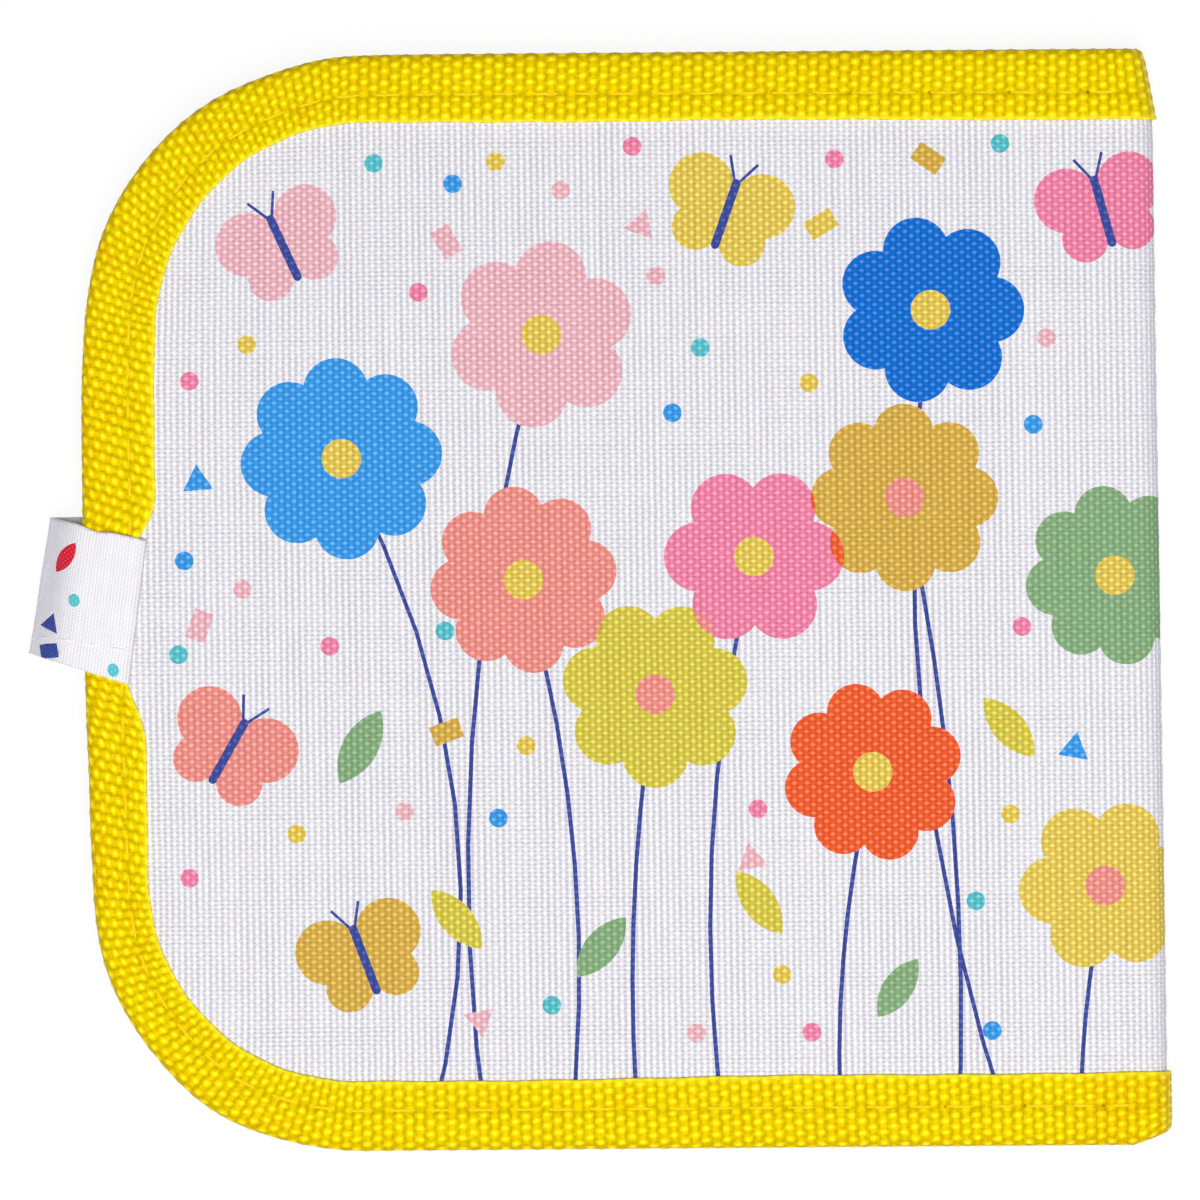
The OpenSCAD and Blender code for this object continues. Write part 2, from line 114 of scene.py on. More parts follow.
def settle(points):
    """Sewn cloth is never quite square: the edges run askew and the spine's corners are pulled in."""
    x, y, z = points[..., 0], points[..., 1], points[..., 2]
    top, foot = 9 * MM, 5.5 * MM  # how far each pull reaches in from its corner
    top_in, foot_up = 1.6 * MM, 1.9 * MM  # and how far it moves the corner itself
    near_top = np.clip((x - SPINE + top) / top, 0, 1)
    near_top = near_top * np.clip((y - EDGE + 9.5 * MM) / top, 0, 1.05)
    near_foot = np.clip((x - SPINE + foot) / foot, 0, 1)
    near_foot = near_foot * np.clip((foot - EDGE - y) / foot, 0, 1.05)
    moved_x = x - top_in * near_top
    moved_y = y - SKEW * (x - (FORE + SPINE) / 2) + foot_up * near_foot
    for cx, cy, reach, dx, dy in PULLS:
        away = (x - FORE - cx * MM) ** 2 + (y - cy * MM) ** 2
        share = np.exp(-away / (reach * MM) ** 2) * MM
        moved_x, moved_y = moved_x + dx * share, moved_y + dy * share
    return np.stack([moved_x, moved_y, z], axis=-1)


# %% [markdown]
# ## From arrays to a mesh
# Every piece is worked out as arrays of points and faces. One function turns them into an object, and
# keeps beside each point its place on the flat cloth, which the weave is painted by.

# %% Turning arrays into a mesh piece
def make_piece(name, points, faces, material, cloth=None, colours=None):
    """A mesh object; cloth is a place on the flat cut for each point, in millimetres."""
    mesh = bpy.data.meshes.new(name)
    mesh.from_pydata(np.asarray(points).tolist(), [], [list(map(int, f)) for f in faces])
    corner = np.empty(len(mesh.loops), int)
    mesh.loops.foreach_get("vertex_index", corner)
    if cloth is not None:
        mesh.uv_layers.new(name="cloth").data.foreach_set("uv", np.asarray(cloth)[corner].ravel())
    if colours is not None:
        each = np.repeat(np.asarray(colours, float), [len(f) for f in faces], axis=0)
        layer = mesh.color_attributes.new(name="print", type="FLOAT_COLOR", domain="CORNER")
        layer.data.foreach_set("color", each.ravel())
    mesh.shade_smooth()
    mesh.materials.append(material)
    piece = bpy.data.objects.new(name, mesh)
    bpy.context.scene.collection.objects.link(piece)
    print(name, len(mesh.vertices), "points,", sum(len(f) - 2 for f in faces), "triangles")
    return piece


def outwards(points, faces):
    """The faces of a closed mesh, turned so that they all point out."""
    a, b, c = (points[[f[i] for f in faces]] for i in range(3))
    volume = np.einsum("ij,ij->i", a, np.cross(b, c)).sum()
    far = [f for f in faces if len(f) > 3]
    if far:
        c, d = points[[f[2] for f in far]], points[[f[3] for f in far]]
        volume += np.einsum("ij,ij->i", points[[f[0] for f in far]], np.cross(c, d)).sum()
    return faces if volume > 0 else [f[::-1] for f in faces]


# %% [markdown]
# ## Shader helpers
# Weave patterns are waves multiplied together. Written with nodes alone they are hard to read, so a
# socket is wrapped in a small class, and `1 - a * b` then adds the Math nodes by itself.

# %% Sockets that can be added and multiplied
class Wave:
    """A node's socket, as a value to reckon with."""

    def __init__(self, paint, socket):
        self.paint, self.socket = paint, socket

    def maths(self, operation, *values):
        return self.paint.add("ShaderNodeMath", {"operation": operation}, dict(enumerate(values)))

    def __add__(self, other):
        return self.maths("ADD", self, other)

    def __sub__(self, other):
        return self.maths("SUBTRACT", self, other)

    def __rsub__(self, other):
        return self.maths("SUBTRACT", other, self)

    def __mul__(self, other):
        return self.maths("MULTIPLY", self, other)

    def __truediv__(self, other):
        return self.maths("DIVIDE", self, other)

    def __pow__(self, other):
        return self.maths("POWER", self, other)

    __radd__ = __add__
    __rmul__ = __mul__

    def sine(self):
        return self.maths("SINE", self)

    def cosine(self):
        return self.maths("COSINE", self)

    def most(self, other):
        return self.maths("MAXIMUM", self, other)

    def between(self, low, high):
        """0 below low, 1 above high, and smooth between them."""
        settings = {"interpolation_type": "SMOOTHSTEP"}
        return self.paint.add("ShaderNodeMapRange", settings, {0: self, 1: low, 2: high})


class Paint:
    """The nodes of a material or a sky, added by their type, settings and socket values."""

    def __init__(self, owner):
        self.owner = owner
        owner.use_nodes = True
        self.tree = owner.node_tree
        self.tree.nodes.clear()

    def add(self, kind, settings=None, values=None, out=0):
        node = self.tree.nodes.new(kind)
        for key, value in (settings or {}).items():
            setattr(node, key, value)
        for key, value in (values or {}).items():
            if isinstance(value, Wave):
                self.tree.links.new(value.socket, node.inputs[key])
            else:
                node.inputs[key].default_value = value
        return Wave(self, node.outputs[out]) if node.outputs else None

    def cloth(self):
        """The place on the flat cut, in millimetres: as a vector, and its parts along and across."""
        place = self.add("ShaderNodeUVMap", {"uv_map": "cloth"})
        along, across = (self.add("ShaderNodeSeparateXYZ", None, {0: place}, out=i) for i in range(2))
        return place, along, across

    def noise(self, place, scale, detail=2.0, stretch=(1, 1, 1)):
        vector = self.add("ShaderNodeMapping", None, {"Vector": place, "Scale": stretch})
        return self.add("ShaderNodeTexNoise", None, {"Vector": vector, "Scale": scale, "Detail": detail})

    def chance(self, number):
        """A random value from 0 to 1 for each whole number."""
        whole = self.add("ShaderNodeMath", {"operation": "ROUND"}, {0: number})
        return self.add("ShaderNodeTexWhiteNoise", {"noise_dimensions": "1D"}, {"W": whole})

    def ramp(self, factor, stops):
        """A colour that follows factor through stops of (place, colour)."""
        result = self.add("ShaderNodeValToRGB", None, {0: factor})
        elements = result.socket.node.color_ramp.elements
        while len(elements) < len(stops):
            elements.new(0.5)
        for element, (place, colour) in zip(elements, stops):
            element.position, element.color = place, colour
        return result

    def tint(self, first, second, kind="MULTIPLY", amount=1.0):
        settings = {"data_type": "RGBA", "blend_type": kind}
        return self.add("ShaderNodeMix", settings, {0: amount, 6: first, 7: second}, out=2)

    def bump(self, height, depth):
        return self.add("ShaderNodeBump", None, {"Height": height, "Distance": depth, "Strength": 1.0})

    def straight(self):
        """1 for what the camera sees itself, in a mirror or through glass."""
        ways = ("Camera", "Glossy", "Transmission")
        camera, glossy, through = (self.add("ShaderNodeLightPath", out="Is %s Ray" % way) for way in ways)
        return camera.most(glossy).most(through)

    def finish(self, values):
        """Ends a material in one Principled shader."""
        shader = self.add("ShaderNodeBsdfPrincipled", None, values)
        self.add("ShaderNodeOutputMaterial", None, {"Surface": shader})
        return self.owner


def new_paint(name):
    return Paint(bpy.data.materials.new(name))


def srgb(red, green, blue):
    """A colour given as on a screen, 0 to 255, as the linear values that a shader wants."""
    def line(c):
        c /= 255
        return c / 12.92 if c <= 0.04045 else ((c + 0.055) / 1.055) ** 2.4
    return (line(red), line(green), line(blue), 1.0)


# %% [markdown]
# ## The canvas
# The cover is a coarse polyester canvas, printed after weaving. Its upright yarns are thick, and
# between them the crossing yarns leave a grid of small gaps. The weave is far too fine for
# mesh, so it is a bump: two families of round yarns, and a checkerboard that says which one passes
# over. The print is a colour stored on the mesh. The same weave paints shade into the colour in the
# gaps and a painted highlight on the yarn tops.

# %% Canvas finish
def paint_canvas(name, pitch, depth, gap_shade_colour, top_highlight, tone):
    """pitch is the spacing of the upright and crossing yarns, in mm; tone is how pale the cloth is."""
    paint = new_paint(name)
    place, along, across = paint.cloth()
    wander = paint.noise(place, 0.45, 1.0) - 0.5
    slub = paint.noise(place, 1.1, 3.0, (1.0, 0.2, 1.0))
    patch = paint.noise(place, 0.16, 3.0)
    column = (along / pitch[0] + wander * 0.22) * math.pi
    row = (across / pitch[1] + wander * 0.5) * math.pi
    over = column.cosine() * row.cosine()
    warp = column.cosine() ** 2.0
    weft = row.cosine() ** 2.0
    height = (warp * (0.75 + 0.25 * over)).most(weft * (0.55 - 0.4 * over)) + slub * 0.5
    dye = paint.add("ShaderNodeVertexColor", {"layer_name": "print"})
    ink = paint.add("ShaderNodeSeparateColor", {"mode": "HSV"}, {0: dye}, out=1)
    printed = ink.between(0.0, 0.5)
    flat_lines = patch.between(0.38, 0.62)
    # Painted shade: the colour is darkened in the gaps between the yarns, a little less on printed cloth.
    upright = (1 - warp) ** 1.2 * (1 - weft * 0.5) * (0.9 + 0.25 * paint.chance(column / math.pi + 0.5))
    level = (1 - weft) ** 1.6 * (1 - warp * 0.5) * (0.4 + 0.6 * paint.chance(row / math.pi + 0.5))
    gap = (upright * (1.05 - 0.4 * flat_lines) + level * flat_lines * 0.65) * (1 - printed * 0.22)
    shade = paint.ramp(gap, [(0.0, (1, 1, 1, 1)), (1.0, gap_shade_colour)])
    # Painted highlight: the colour is made lighter on the yarn tops, besides the cloth's own tone and random
    # slubs.
    tone_and_top_highlight = tone + top_highlight * over + 0.04 * slub.between(0.35, 0.7)
    grey = paint.add("ShaderNodeCombineColor", None, {0: tone_and_top_highlight, 1: tone_and_top_highlight, 2: tone_and_top_highlight})
    # On printed yarn tops the colour is made paler: partly thinner ink there, partly a painted highlight.
    thin_ink_and_highlight = paint.add("ShaderNodeHueSaturation", None, {
        "Color": dye, "Saturation": 0.9, "Value": 1.25, "Fac": over.between(0.1, 1.0) * printed,
    })
    return paint.finish({
        "Base Color": paint.tint(paint.tint(thin_ink_and_highlight, shade), grey),
        "Roughness": 0.8,
        "Specular IOR Level": 0.15,
        "Normal": paint.bump(height, depth),
    })


# For each canvas: yarn pitch, bump depth, the painted shade colour in the weave's gaps, the painted
# highlight on yarn tops, and the cloth's tone.
CANVAS = paint_canvas("printed canvas", (0.87, 0.592), 0.08 * MM, srgb(200, 200, 207), 0.06, 0.85)
STRAP = paint_canvas("strap canvas", (0.42, 0.37), 0.05 * MM, srgb(226, 226, 230), 0.03, 0.905)
WHITE = srgb(248, 248, 251)

# %% [markdown]
# ## The print
# The print is flat fields of colour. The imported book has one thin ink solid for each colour, so the
# outline of every field can be read from its top faces. The cover's mesh is then cut along these
# outlines with a constrained triangulation, which keeps each edge of the print sharp at any size,
# and each triangle takes the colour of the ink that lies over it.

# %% Colours of the inks
INKS = {
    "blue": srgb(57, 160, 239),
    "deep_blue": srgb(0, 115, 216),
    "teal": srgb(93, 201, 209),
    "coral": srgb(247, 150, 138),
    "pink": srgb(246, 190, 198),
    "rose": srgb(250, 137, 172),
    "orange": srgb(249, 96, 41),
    "mustard": srgb(222, 181, 75),
    "lime": srgb(222, 209, 74),
    "sage": srgb(140, 181, 130),
    "yellow": srgb(236, 208, 87),
    "navy": srgb(60, 78, 160),
    "red": srgb(228, 28, 54),
}
LOOP_DYES = {"coral": "red"}  # the loop's coral solid is a red mark on the photographed strap


# %% [markdown]
# The functions below find the faces of an ink solid that point outwards, lay them flat, and cut one
# sheet along all their edges.

# %% Reading the outline of an ink solid
def ink_faces(name):
    """The outer faces of an ink solid: its points as x, y, z and its triangles, merged."""
    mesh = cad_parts[name].data
    mesh.calc_loop_triangles()
    points = np.array([v.co for v in mesh.vertices])
    keys, index = np.unique(np.round(points / 1e-6).astype(int), axis=0, return_inverse=True)
    index = index.ravel()
    triangles = index[np.array([t.vertices for t in mesh.loop_triangles])]
    points = keys * 1e-6
    a, b, c = (points[triangles[:, i]] for i in range(3))
    normal = np.cross(b - a, c - a)
    size = np.linalg.norm(normal, axis=1)
    middle = (a + b + c) / 3
    out = np.stack([np.maximum(middle[:, 0] - FOLD, 0), 0 * size, middle[:, 2] - MID], axis=1)
    out /= np.linalg.norm(out, axis=1)[:, None]
    facing = np.einsum("ij,ij->i", normal, out) > 0.9 * size
    return points, triangles[facing & (size > 0)]


def unfold(points, side):
    """Points on a cover's outer face, as u and v on the open cover; side is -1 on the front."""
    x, y = points[:, 0], points[:, 1]
    round_spine = np.clip((x - FOLD) / (CANVAS_OUT + 0.1 * MM), 0, 1)
    u = np.where(x > FOLD, -ARC + CANVAS_OUT * np.arcsin(round_spine), -(ARC + FOLD - x))
    return np.stack([-side * u, y], axis=1)


def open_edges(triangles):
    """The edges that only one triangle has."""
    edges = np.sort(triangles[:, [0, 1, 1, 2, 2, 0]].reshape(-1, 2), axis=1)
    kept, count = np.unique(edges, axis=0, return_counts=True)
    return kept[count == 1]


def within(points, outline):
    """Which points lie inside an outline that bulges everywhere and runs against the clock."""
    ahead = np.roll(outline, -1, axis=0) - outline

    def left_of_all(x, y):
        return (ahead[:, 0] * (y - outline[:, 1]) - ahead[:, 1] * (x - outline[:, 0])).min() > -1e-12
    return np.array([left_of_all(x, y) for x, y in points])


def cut_sheet(outline, step, cuts):
    """Triangulates a flat outline, in metres, along the edges of the cuts, with a grid of points."""
    low, high = outline.min(0), outline.max(0)
    first = low + step / 2
    u, v = np.meshgrid(np.arange(first[0], high[0], step), np.arange(first[1], high[1], step))
    v = v + (np.arange(u.shape[1]) % 2) * step / 2
    grid = np.stack([u.ravel(), v.ravel()], axis=1)
    inside = within(grid, outline)
    points = [outline, grid[inside]]
    edges = [np.stack([np.arange(len(outline)), np.roll(np.arange(len(outline)), -1)], axis=1)]
    count = len(outline) + inside.sum()
    for flat, border in cuts:
        edges.append(border + count)
        points.append(flat)
        count += len(flat)
    points, edges = np.concatenate(points) / MM, np.concatenate(edges)
    found = delaunay_2d_cdt([Vector(p) for p in points], edges.tolist(), [], 0, 1e-4)
    flat, triangles = np.array([tuple(p) for p in found[0]]) * MM, np.array(found[2])
    return flat, triangles[within(flat[triangles].mean(1), outline)]


def creases(reach, tall, wide_step, tall_step):
    """Lines of points up the spine, so that a sheet is fine enough to bend there."""
    v = np.arange(-tall, tall, tall_step)
    border = np.stack([np.arange(len(v) - 1), np.arange(1, len(v))], axis=1)
    places = np.arange(-reach, reach + wide_step / 2, wide_step)
    return [(np.column_stack([u + 0 * v, v]), border) for u in places]


def dye_of(flat, triangles, inks):
    """The colour of each triangle, from the ink triangles that lie over its middle."""
    colours = np.tile(WHITE, (len(triangles), 1))
    if not inks:
        return colours
    points, faces, dyes, count = [], [], [], 0
    for ink_flat, ink_triangles, dye in inks:
        points += [(p[0] / MM, p[1] / MM, 0) for p in ink_flat]
        faces += (ink_triangles + count).tolist()
        dyes += [dye] * len(ink_triangles)
        count += len(ink_flat)
    tree = BVHTree.FromPolygons(points, faces)
    for i, middle in enumerate(flat[triangles].mean(1) / MM):
        hit = tree.ray_cast((middle[0], middle[1], 1), (0, 0, -1))[2]
        if hit is not None:
            colours[i] = dyes[hit]
    return colours


def read_inks(prefix, flatten):
    """Every ink solid whose name starts with prefix: its cut for the sheet and its dye."""
    cuts, inks = [], []
    for name in sorted(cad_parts):
        if name.startswith(prefix):
            points, triangles = ink_faces(name)
            flat = flatten(points)
            colour = name[len(prefix):]
            if prefix == "loop_print_":
                colour = LOOP_DYES.get(colour, colour)
            cuts.append((flat, open_edges(triangles)))
            inks.append((flat, triangles, INKS[colour]))
    return cuts, inks


# %% [markdown]
# ## The cover
# The open cover is a long rounded rectangle. The canvas, the lining and the leaves are all smaller
# copies of that outline, and each is one flat sheet closed into a thin solid.

# %% Outline of the open cover, or of anything inside it
def cover_outline(margin, step):
    """A rounded rectangle round the open cover, smaller all round by margin."""
    r = CORNER - margin
    wide, tall = HALF - margin, EDGE - margin
    turn = np.linspace(0, math.pi / 2, max(4, int(r * math.pi / 2 / step)))
    points = []
    for side, (cu, cv) in enumerate([(1, 1), (-1, 1), (-1, -1), (1, -1)]):
        angle = turn + side * math.pi / 2
        centre = np.array([cu * (wide - r), cv * (tall - r)])
        points.append(centre + r * np.stack([np.cos(angle), np.sin(angle)], axis=1))
    ring = np.concatenate(points)
    full = []
    for a, b in zip(ring, np.roll(ring, -1, axis=0)):
        parts = max(1, int(np.linalg.norm(b - a) / step))
        full += [a + (b - a) * i / parts for i in range(parts)]
    return np.array(full)


def closed_faces(triangles, count):
    """The faces of two copies of a flat sheet of count points and of the rim that joins them."""
    border = {tuple(edge) for edge in open_edges(triangles)}
    rim = [
        [b, a, a + count, b + count] for t in triangles for a, b in zip(t, np.roll(t, -1))
        if (min(a, b), max(a, b)) in border
    ]
    return triangles.tolist() + (triangles[:, ::-1] + count).tolist() + rim, len(rim)


def thick_sheet(flat, triangles, outer, inner):
    """A flat sheet folded twice, at the heights outer and inner, and closed into one thin solid."""
    points = [fold(flat[:, 0], flat[:, 1], height) for height in (outer, inner)]
    faces, rim = closed_faces(triangles, len(flat))
    return np.concatenate(points), faces, rim


# %% [markdown]
# ## Soft unevenness
# Cloth that has been sewn is never quite flat. The stitches shorten the edge a little, so the canvas
# swells by a few hundredths of a millimetre between them. A sum of slow waves gives that.

# %% How far the canvas swells
def swell(u, v):
    """Height of the canvas's outer face over its plain level; it is 0 under the tape."""
    slow = np.sin(u / MM * 0.13 + 1.0) * np.sin(v / MM * 0.11 + 0.4)
    slow = slow + 0.6 * np.sin(u / MM * 0.07 - v / MM * 0.09)
    inset = np.minimum(HALF - np.abs(u), EDGE - np.abs(v)) / MM
    near = np.exp(-((inset - 12) / 4.0) ** 2)
    pucker = np.sin((u + v) / MM * 0.9) * np.sin((u - v) / MM * 0.7 + 0.8)
    free = np.clip((inset - 9.5) / 3, 0, 1)
    return (0.035 * slow + 0.03 * near * pucker) * free * MM


# %% [markdown]
# ## The printed cloth
# All the prints and some lines up the spine are cut into one sheet. The lines keep its triangles
# narrow where it bends when the book opens.

# %% The printed cover, one cloth from fore-edge to fore-edge
STEP = 1.6 * MM
outline = cover_outline(TAPE_T, 2 * MM)
front_cuts, front_inks = read_inks("front_print_", lambda p: unfold(p, -1))
back_cuts, back_inks = read_inks("back_print_", lambda p: unfold(p, 1))
bend_lines = creases(ARC, EDGE - 1.2 * MM, ARC / 12, 2 * MM)
flat, triangles = cut_sheet(outline, STEP, front_cuts + back_cuts + bend_lines)
dyes = dye_of(flat, triangles, front_inks + back_inks)
level = CANVAS_OUT + swell(flat[:, 0], flat[:, 1])
points, faces, rim = thick_sheet(flat, triangles, level, CANVAS_IN + 0 * level)
white = np.tile(WHITE, (len(triangles) + rim, 1))
cover_cloth = make_piece(
    "cover_cloth", points, faces, CANVAS, np.tile(flat / MM, (2, 1)), np.concatenate([dyes, white])
)

# %% [markdown]
# ## Lining and leaves
# The inside is smooth white vinyl that chalk and pens wipe off. The leaves are four sheets, each
# folded once, one inside the other: that is why a block of eight leaves has a round back.

# %% Vinyl finish
def paint_vinyl(name, colour, grain):
    paint = new_paint(name)
    place = paint.cloth()[0]
    fine = paint.noise(place, grain, 3.0)
    slow = paint.noise(place, 0.05, 2.0)
    tone = paint.ramp(slow.between(0.3, 0.7), [(0.0, (0.97, 0.97, 0.965, 1)), (1.0, (1, 1, 1, 1))])
    return paint.finish({
        "Base Color": paint.tint(colour, tone),
        "Roughness": 0.3 + 0.12 * slow,
        "Specular IOR Level": 0.45,
        "Normal": paint.bump(fine, 0.02 * MM),
    })


LINING = paint_vinyl("lining vinyl", srgb(222, 223, 225), 2.2)
LEAF = paint_vinyl("leaf vinyl", srgb(229, 229, 227), 1.2)

# %% [markdown]
# The lining is the cover's outline once more, laid against the inside of the canvas.

# %% Lining
outline = cover_outline(TAPE_T, 3 * MM)
flat, triangles = cut_sheet(outline, 4 * MM, bend_lines)
points, faces, rim = thick_sheet(flat, triangles, CANVAS_IN, LINING_IN)
cover_lining = make_piece("cover_lining", points, faces, LINING, np.tile(flat / MM, (2, 1)))

# %% [markdown]
# Each folded sheet lies just inside the one before. The sheets are drawn on the open cover, like
# everything else, and a slow wave keeps them from looking like one block.

# %% Leaves
SHEETS = 4  # folded once, they make eight leaves
PAGE_GAP = 0.05 * MM
page_step = PAGES_H / SHEETS
inset = EDGE - PAGES_EDGE
leaf_points, leaf_faces, leaf_flat, count = [], [], [], 0
for sheet in range(SHEETS):
    high = PAGES_H - sheet * page_step
    outline = cover_outline(inset + 0.12 * MM * sheet, 2.5 * MM)
    flat, triangles = cut_sheet(outline, 4 * MM, creases(ARC, PAGES_EDGE - MM, ARC / 8, 4 * MM))
    rest = np.clip((np.abs(flat[:, 0]) - ARC) / (30 * MM), 0, 1)
    wave = 0.02 * MM * np.sin(flat[:, 0] / MM * 0.05 + sheet) * rest
    outer, inner = high - PAGE_GAP / 2 + wave, high - page_step + PAGE_GAP / 2 + wave
    points, faces, rim = thick_sheet(flat, triangles, outer, inner)
    leaf_points.append(points)
    leaf_faces += (np.array(f) + count for f in faces)
    leaf_flat.append(np.tile(flat / MM, (2, 1)))
    count += len(points)
leaves = make_piece("leaves", np.concatenate(leaf_points), leaf_faces, LEAF, np.concatenate(leaf_flat))

# %% [markdown]
# ## The binding tape
# The tape is a ribbed polyester grosgrain, folded over the edge. Its yarns are thick enough to see,
# so each little pillow of the weave is real mesh: a checkerboard of humps, ribs 1.45 mm apart
# along the tape and rows 0.8 mm apart across it. The mesh runs round the edge in stations, and at
# each station the folded section is drawn with the same number of points.

# %% Stations along the cover's edge
RIB, ROW = 1.45 * MM, 0.8 * MM
RUN = HALF - CORNER
SIDE = 2 * (EDGE - CORNER)
TURN = math.pi / 2 * CORNER
LENGTH = 2 * RUN + 2 * TURN + SIDE
RIBS = round(LENGTH / RIB)
MIDDLE = RUN + TURN + SIDE / 2


def station(t):
    """Point on the front half's outer edge and the direction inwards, at a distance t from the spine."""
    t = np.asarray(t, float)
    a = np.clip((t - RUN) / CORNER, 0, math.pi / 2)
    b = np.clip((t - RUN - TURN - SIDE) / CORNER, 0, math.pi / 2)
    down = np.clip(t - RUN - TURN, 0, SIDE)
    back = np.clip(t - RUN - 2 * TURN - SIDE, 0, RUN)
    first = t < RUN + TURN
    angle = np.where(first, a, math.pi / 2 + b)
    cu = -(HALF - CORNER) + 0 * t
    cu = np.where(t < RUN, -t, cu) + back
    cv = EDGE - CORNER - down
    inward = np.stack([np.sin(angle), -np.cos(angle)], axis=-1)
    return np.stack([cu, cv], axis=-1) - CORNER * inward, inward


def seam_in(t):
    """Distance from the edge to the stitches: sewn by eye, it drifts a little along the fore-edge."""
    marks = [0, RUN, RUN + TURN, MIDDLE - 12 * MM, MIDDLE + 12 * MM]
    marks += [RUN + TURN + SIDE, LENGTH - RUN, LENGTH]
    return np.interp(t, marks, np.array([6.0, 5.5, 6.3, 6.6, 5.0, 5.1, 5.6, 5.5]) * MM)


FINE = np.linspace(0, LENGTH, 1500)
edge, inward = station(FINE)
SEAM = edge + inward * seam_in(FINE)[:, None]
SEAM_RUN = np.concatenate([[0], np.cumsum(np.linalg.norm(np.diff(SEAM, axis=0), axis=1))])


def along_seam(t):
    """Distance along the line of stitches, which is shorter than the edge in the corners."""
    return np.interp(t, FINE, SEAM_RUN)


SEAM_LENGTH = float(along_seam(LENGTH))
STITCHES = int(SEAM_LENGTH / (5.4 * MM))
PITCH = SEAM_LENGTH / STITCHES
print("stitches on each cover:", STITCHES, "pitch mm:", PITCH / MM)


# %% [markdown]
# The section goes from the tape's inner edge over the outside, round the cover's edge and back along
# the inside. The humps of the weave then push its points out, and the stitches pull them in.

# %% The folded section and its weave
def bell(x, width):
    return np.exp(-((x / width) ** 2))


def tape_width(t, side):
    """Width of tape that shows, in metres: it wanders, and under the loop it is pulled to the edge."""
    ends = [0, RUN, RUN + TURN]
    loop = MIDDLE + np.array([-16, -13.5, -11.5, -9, -6, 0, 8, 11.7, 13, 15, 18, 22]) * MM
    last = [RUN + TURN + SIDE, LENGTH - RUN, LENGTH]
    front = [9.75, 9.4, 10.1, 10.3, 10.1, 9.4, 7.7, 6.5, 6.0, 5.6, 5.8, 6.5, 7.4, 8.1, 8.2]
    front += [8.1, 9.6, 10.2]
    if side < 0:
        width = np.interp(t, np.concatenate([ends, loop, last]), front)
        width = np.convolve(np.pad(width, 4, "edge"), np.ones(9) / 9, "valid")
    else:
        width = np.interp(t, ends + [MIDDLE] + last, [9.8, 9.6, 9.4, 9.9, 9.5, 9.9, 9.6])
    return (width + 0.12 * np.sin(t / MM * 0.09) + 0.05 * np.sin(t / MM * 0.55)) * MM


def section(t, side):
    """For every station: rows of d in from the edge, h up, q across the weave, and which way is out."""
    width = tape_width(t, side)[:, None]
    face, edge, inside = 40, 16, 14  # points over the outside, round the edge and along the inside
    lip_in = 0.12 * MM
    r = FOLDED / 2
    level = OUTER - 0.2 * MM
    low = OUTER - FOLDED + 0.12 * MM
    lip = [(1.0, CANVAS_OUT + 0.03 * MM), (1.0, CANVAS_OUT + 0.3 * MM)]
    rows_d, rows_h, rows_q, rows_n = [], [], [], []

    def put(d, h, q, nd, nh, woven):
        rows_d.append(d + 0 * width[:, 0])
        rows_h.append(h + 0 * width[:, 0])
        rows_q.append(q + 0 * width[:, 0])
        rows_n.append((nd, nh, woven))

    for share, h in lip:
        put(width[:, 0] * share, h, 0, 0, 0, 0)
    for i in range(face):
        s = i / (face - 1)
        d = width[:, 0] - lip_in + (r - width[:, 0] + lip_in) * s
        rounding = 0.22 * MM * np.clip(1 - d / (3 * MM), 0, 1) ** 2
        put(d, level + 0.05 * MM - rounding, width[:, 0] - d, 0, 1, 1)
    for i in range(1, edge):
        a = math.pi * i / edge
        rr = (level - low) / 2
        q = width[:, 0] - r + a * r
        put(r - r * math.sin(a), (level + low) / 2 + rr * math.cos(a), q, -math.sin(a), math.cos(a), 1)
    for i in range(inside):
        s = i / (inside - 1)
        d = r + (width[:, 0] - lip_in - r) * s
        put(d, low, width[:, 0] - r + math.pi * r + d - r, 0, -1, 0.6)
    for share, h in [(1.0, low + 0.35 * MM), (1.0, LINING_IN - 0.03 * MM)]:
        put(width[:, 0] * share, h, 0, 0, 0, 0)
    put(TAPE_T - 0.05 * MM, LINING_IN - 0.03 * MM, 0, 0, 0, 0)
    put(TAPE_T - 0.05 * MM, CANVAS_OUT + 0.03 * MM, 0, 0, 0, 0)
    return np.array(rows_d), np.array(rows_h), np.array(rows_q), np.array(rows_n)


def lean(t):
    """How far the ribs lean, as a slope: they are pulled askew along the fore-edge."""
    return 0.38 * bell(t - MIDDLE + 15 * MM, 62 * MM) + 0.05 * np.sin(t / MM * 0.03)


def humps(t, d, q):
    """Height of the weave's pillows, 0 to 1: ribs, and on them a checkerboard of humps."""
    rib = np.cos(math.pi * (t / RIB + lean(t) * q / RIB))
    jitter = 0.18 * np.sin(t / MM * 0.61 + q / MM * 0.9) + 0.1 * np.sin(t / MM * 1.7)
    check = rib * np.cos(math.pi * (q / ROW + jitter * 0.5))
    near_fold = np.clip(d / (2 * MM), 0.25, 1)
    return 0.24 * rib ** 2 * near_fold + 0.76 * np.clip(check, 0, None) * np.abs(rib) ** 0.7


def seam_marks(t, d):
    """How near a place is to the line of stitches and to a needle hole, both 0 to 1."""
    line = seam_in(t)
    fade = np.clip(np.minimum(t, LENGTH - t) / (5 * MM), 0, 1) ** 2
    place = along_seam(t) / PITCH
    deep = np.where(np.round(place) % 2 == 0, 1.0, 0.35)
    hole = deep * bell((place - np.round(place)) * PITCH, 0.42 * MM) * bell(d - line, 0.32 * MM) * fade
    return bell(d - line, 0.55 * MM) * fade, hole


PILLOW = 0.17 * MM
SEAM_DENT, HOLE_DENT = 0.16, 0.3  # in mm
CRIMP = 0.06 * MM  # slow waves of the whole tape, and the small ones of its selvedge


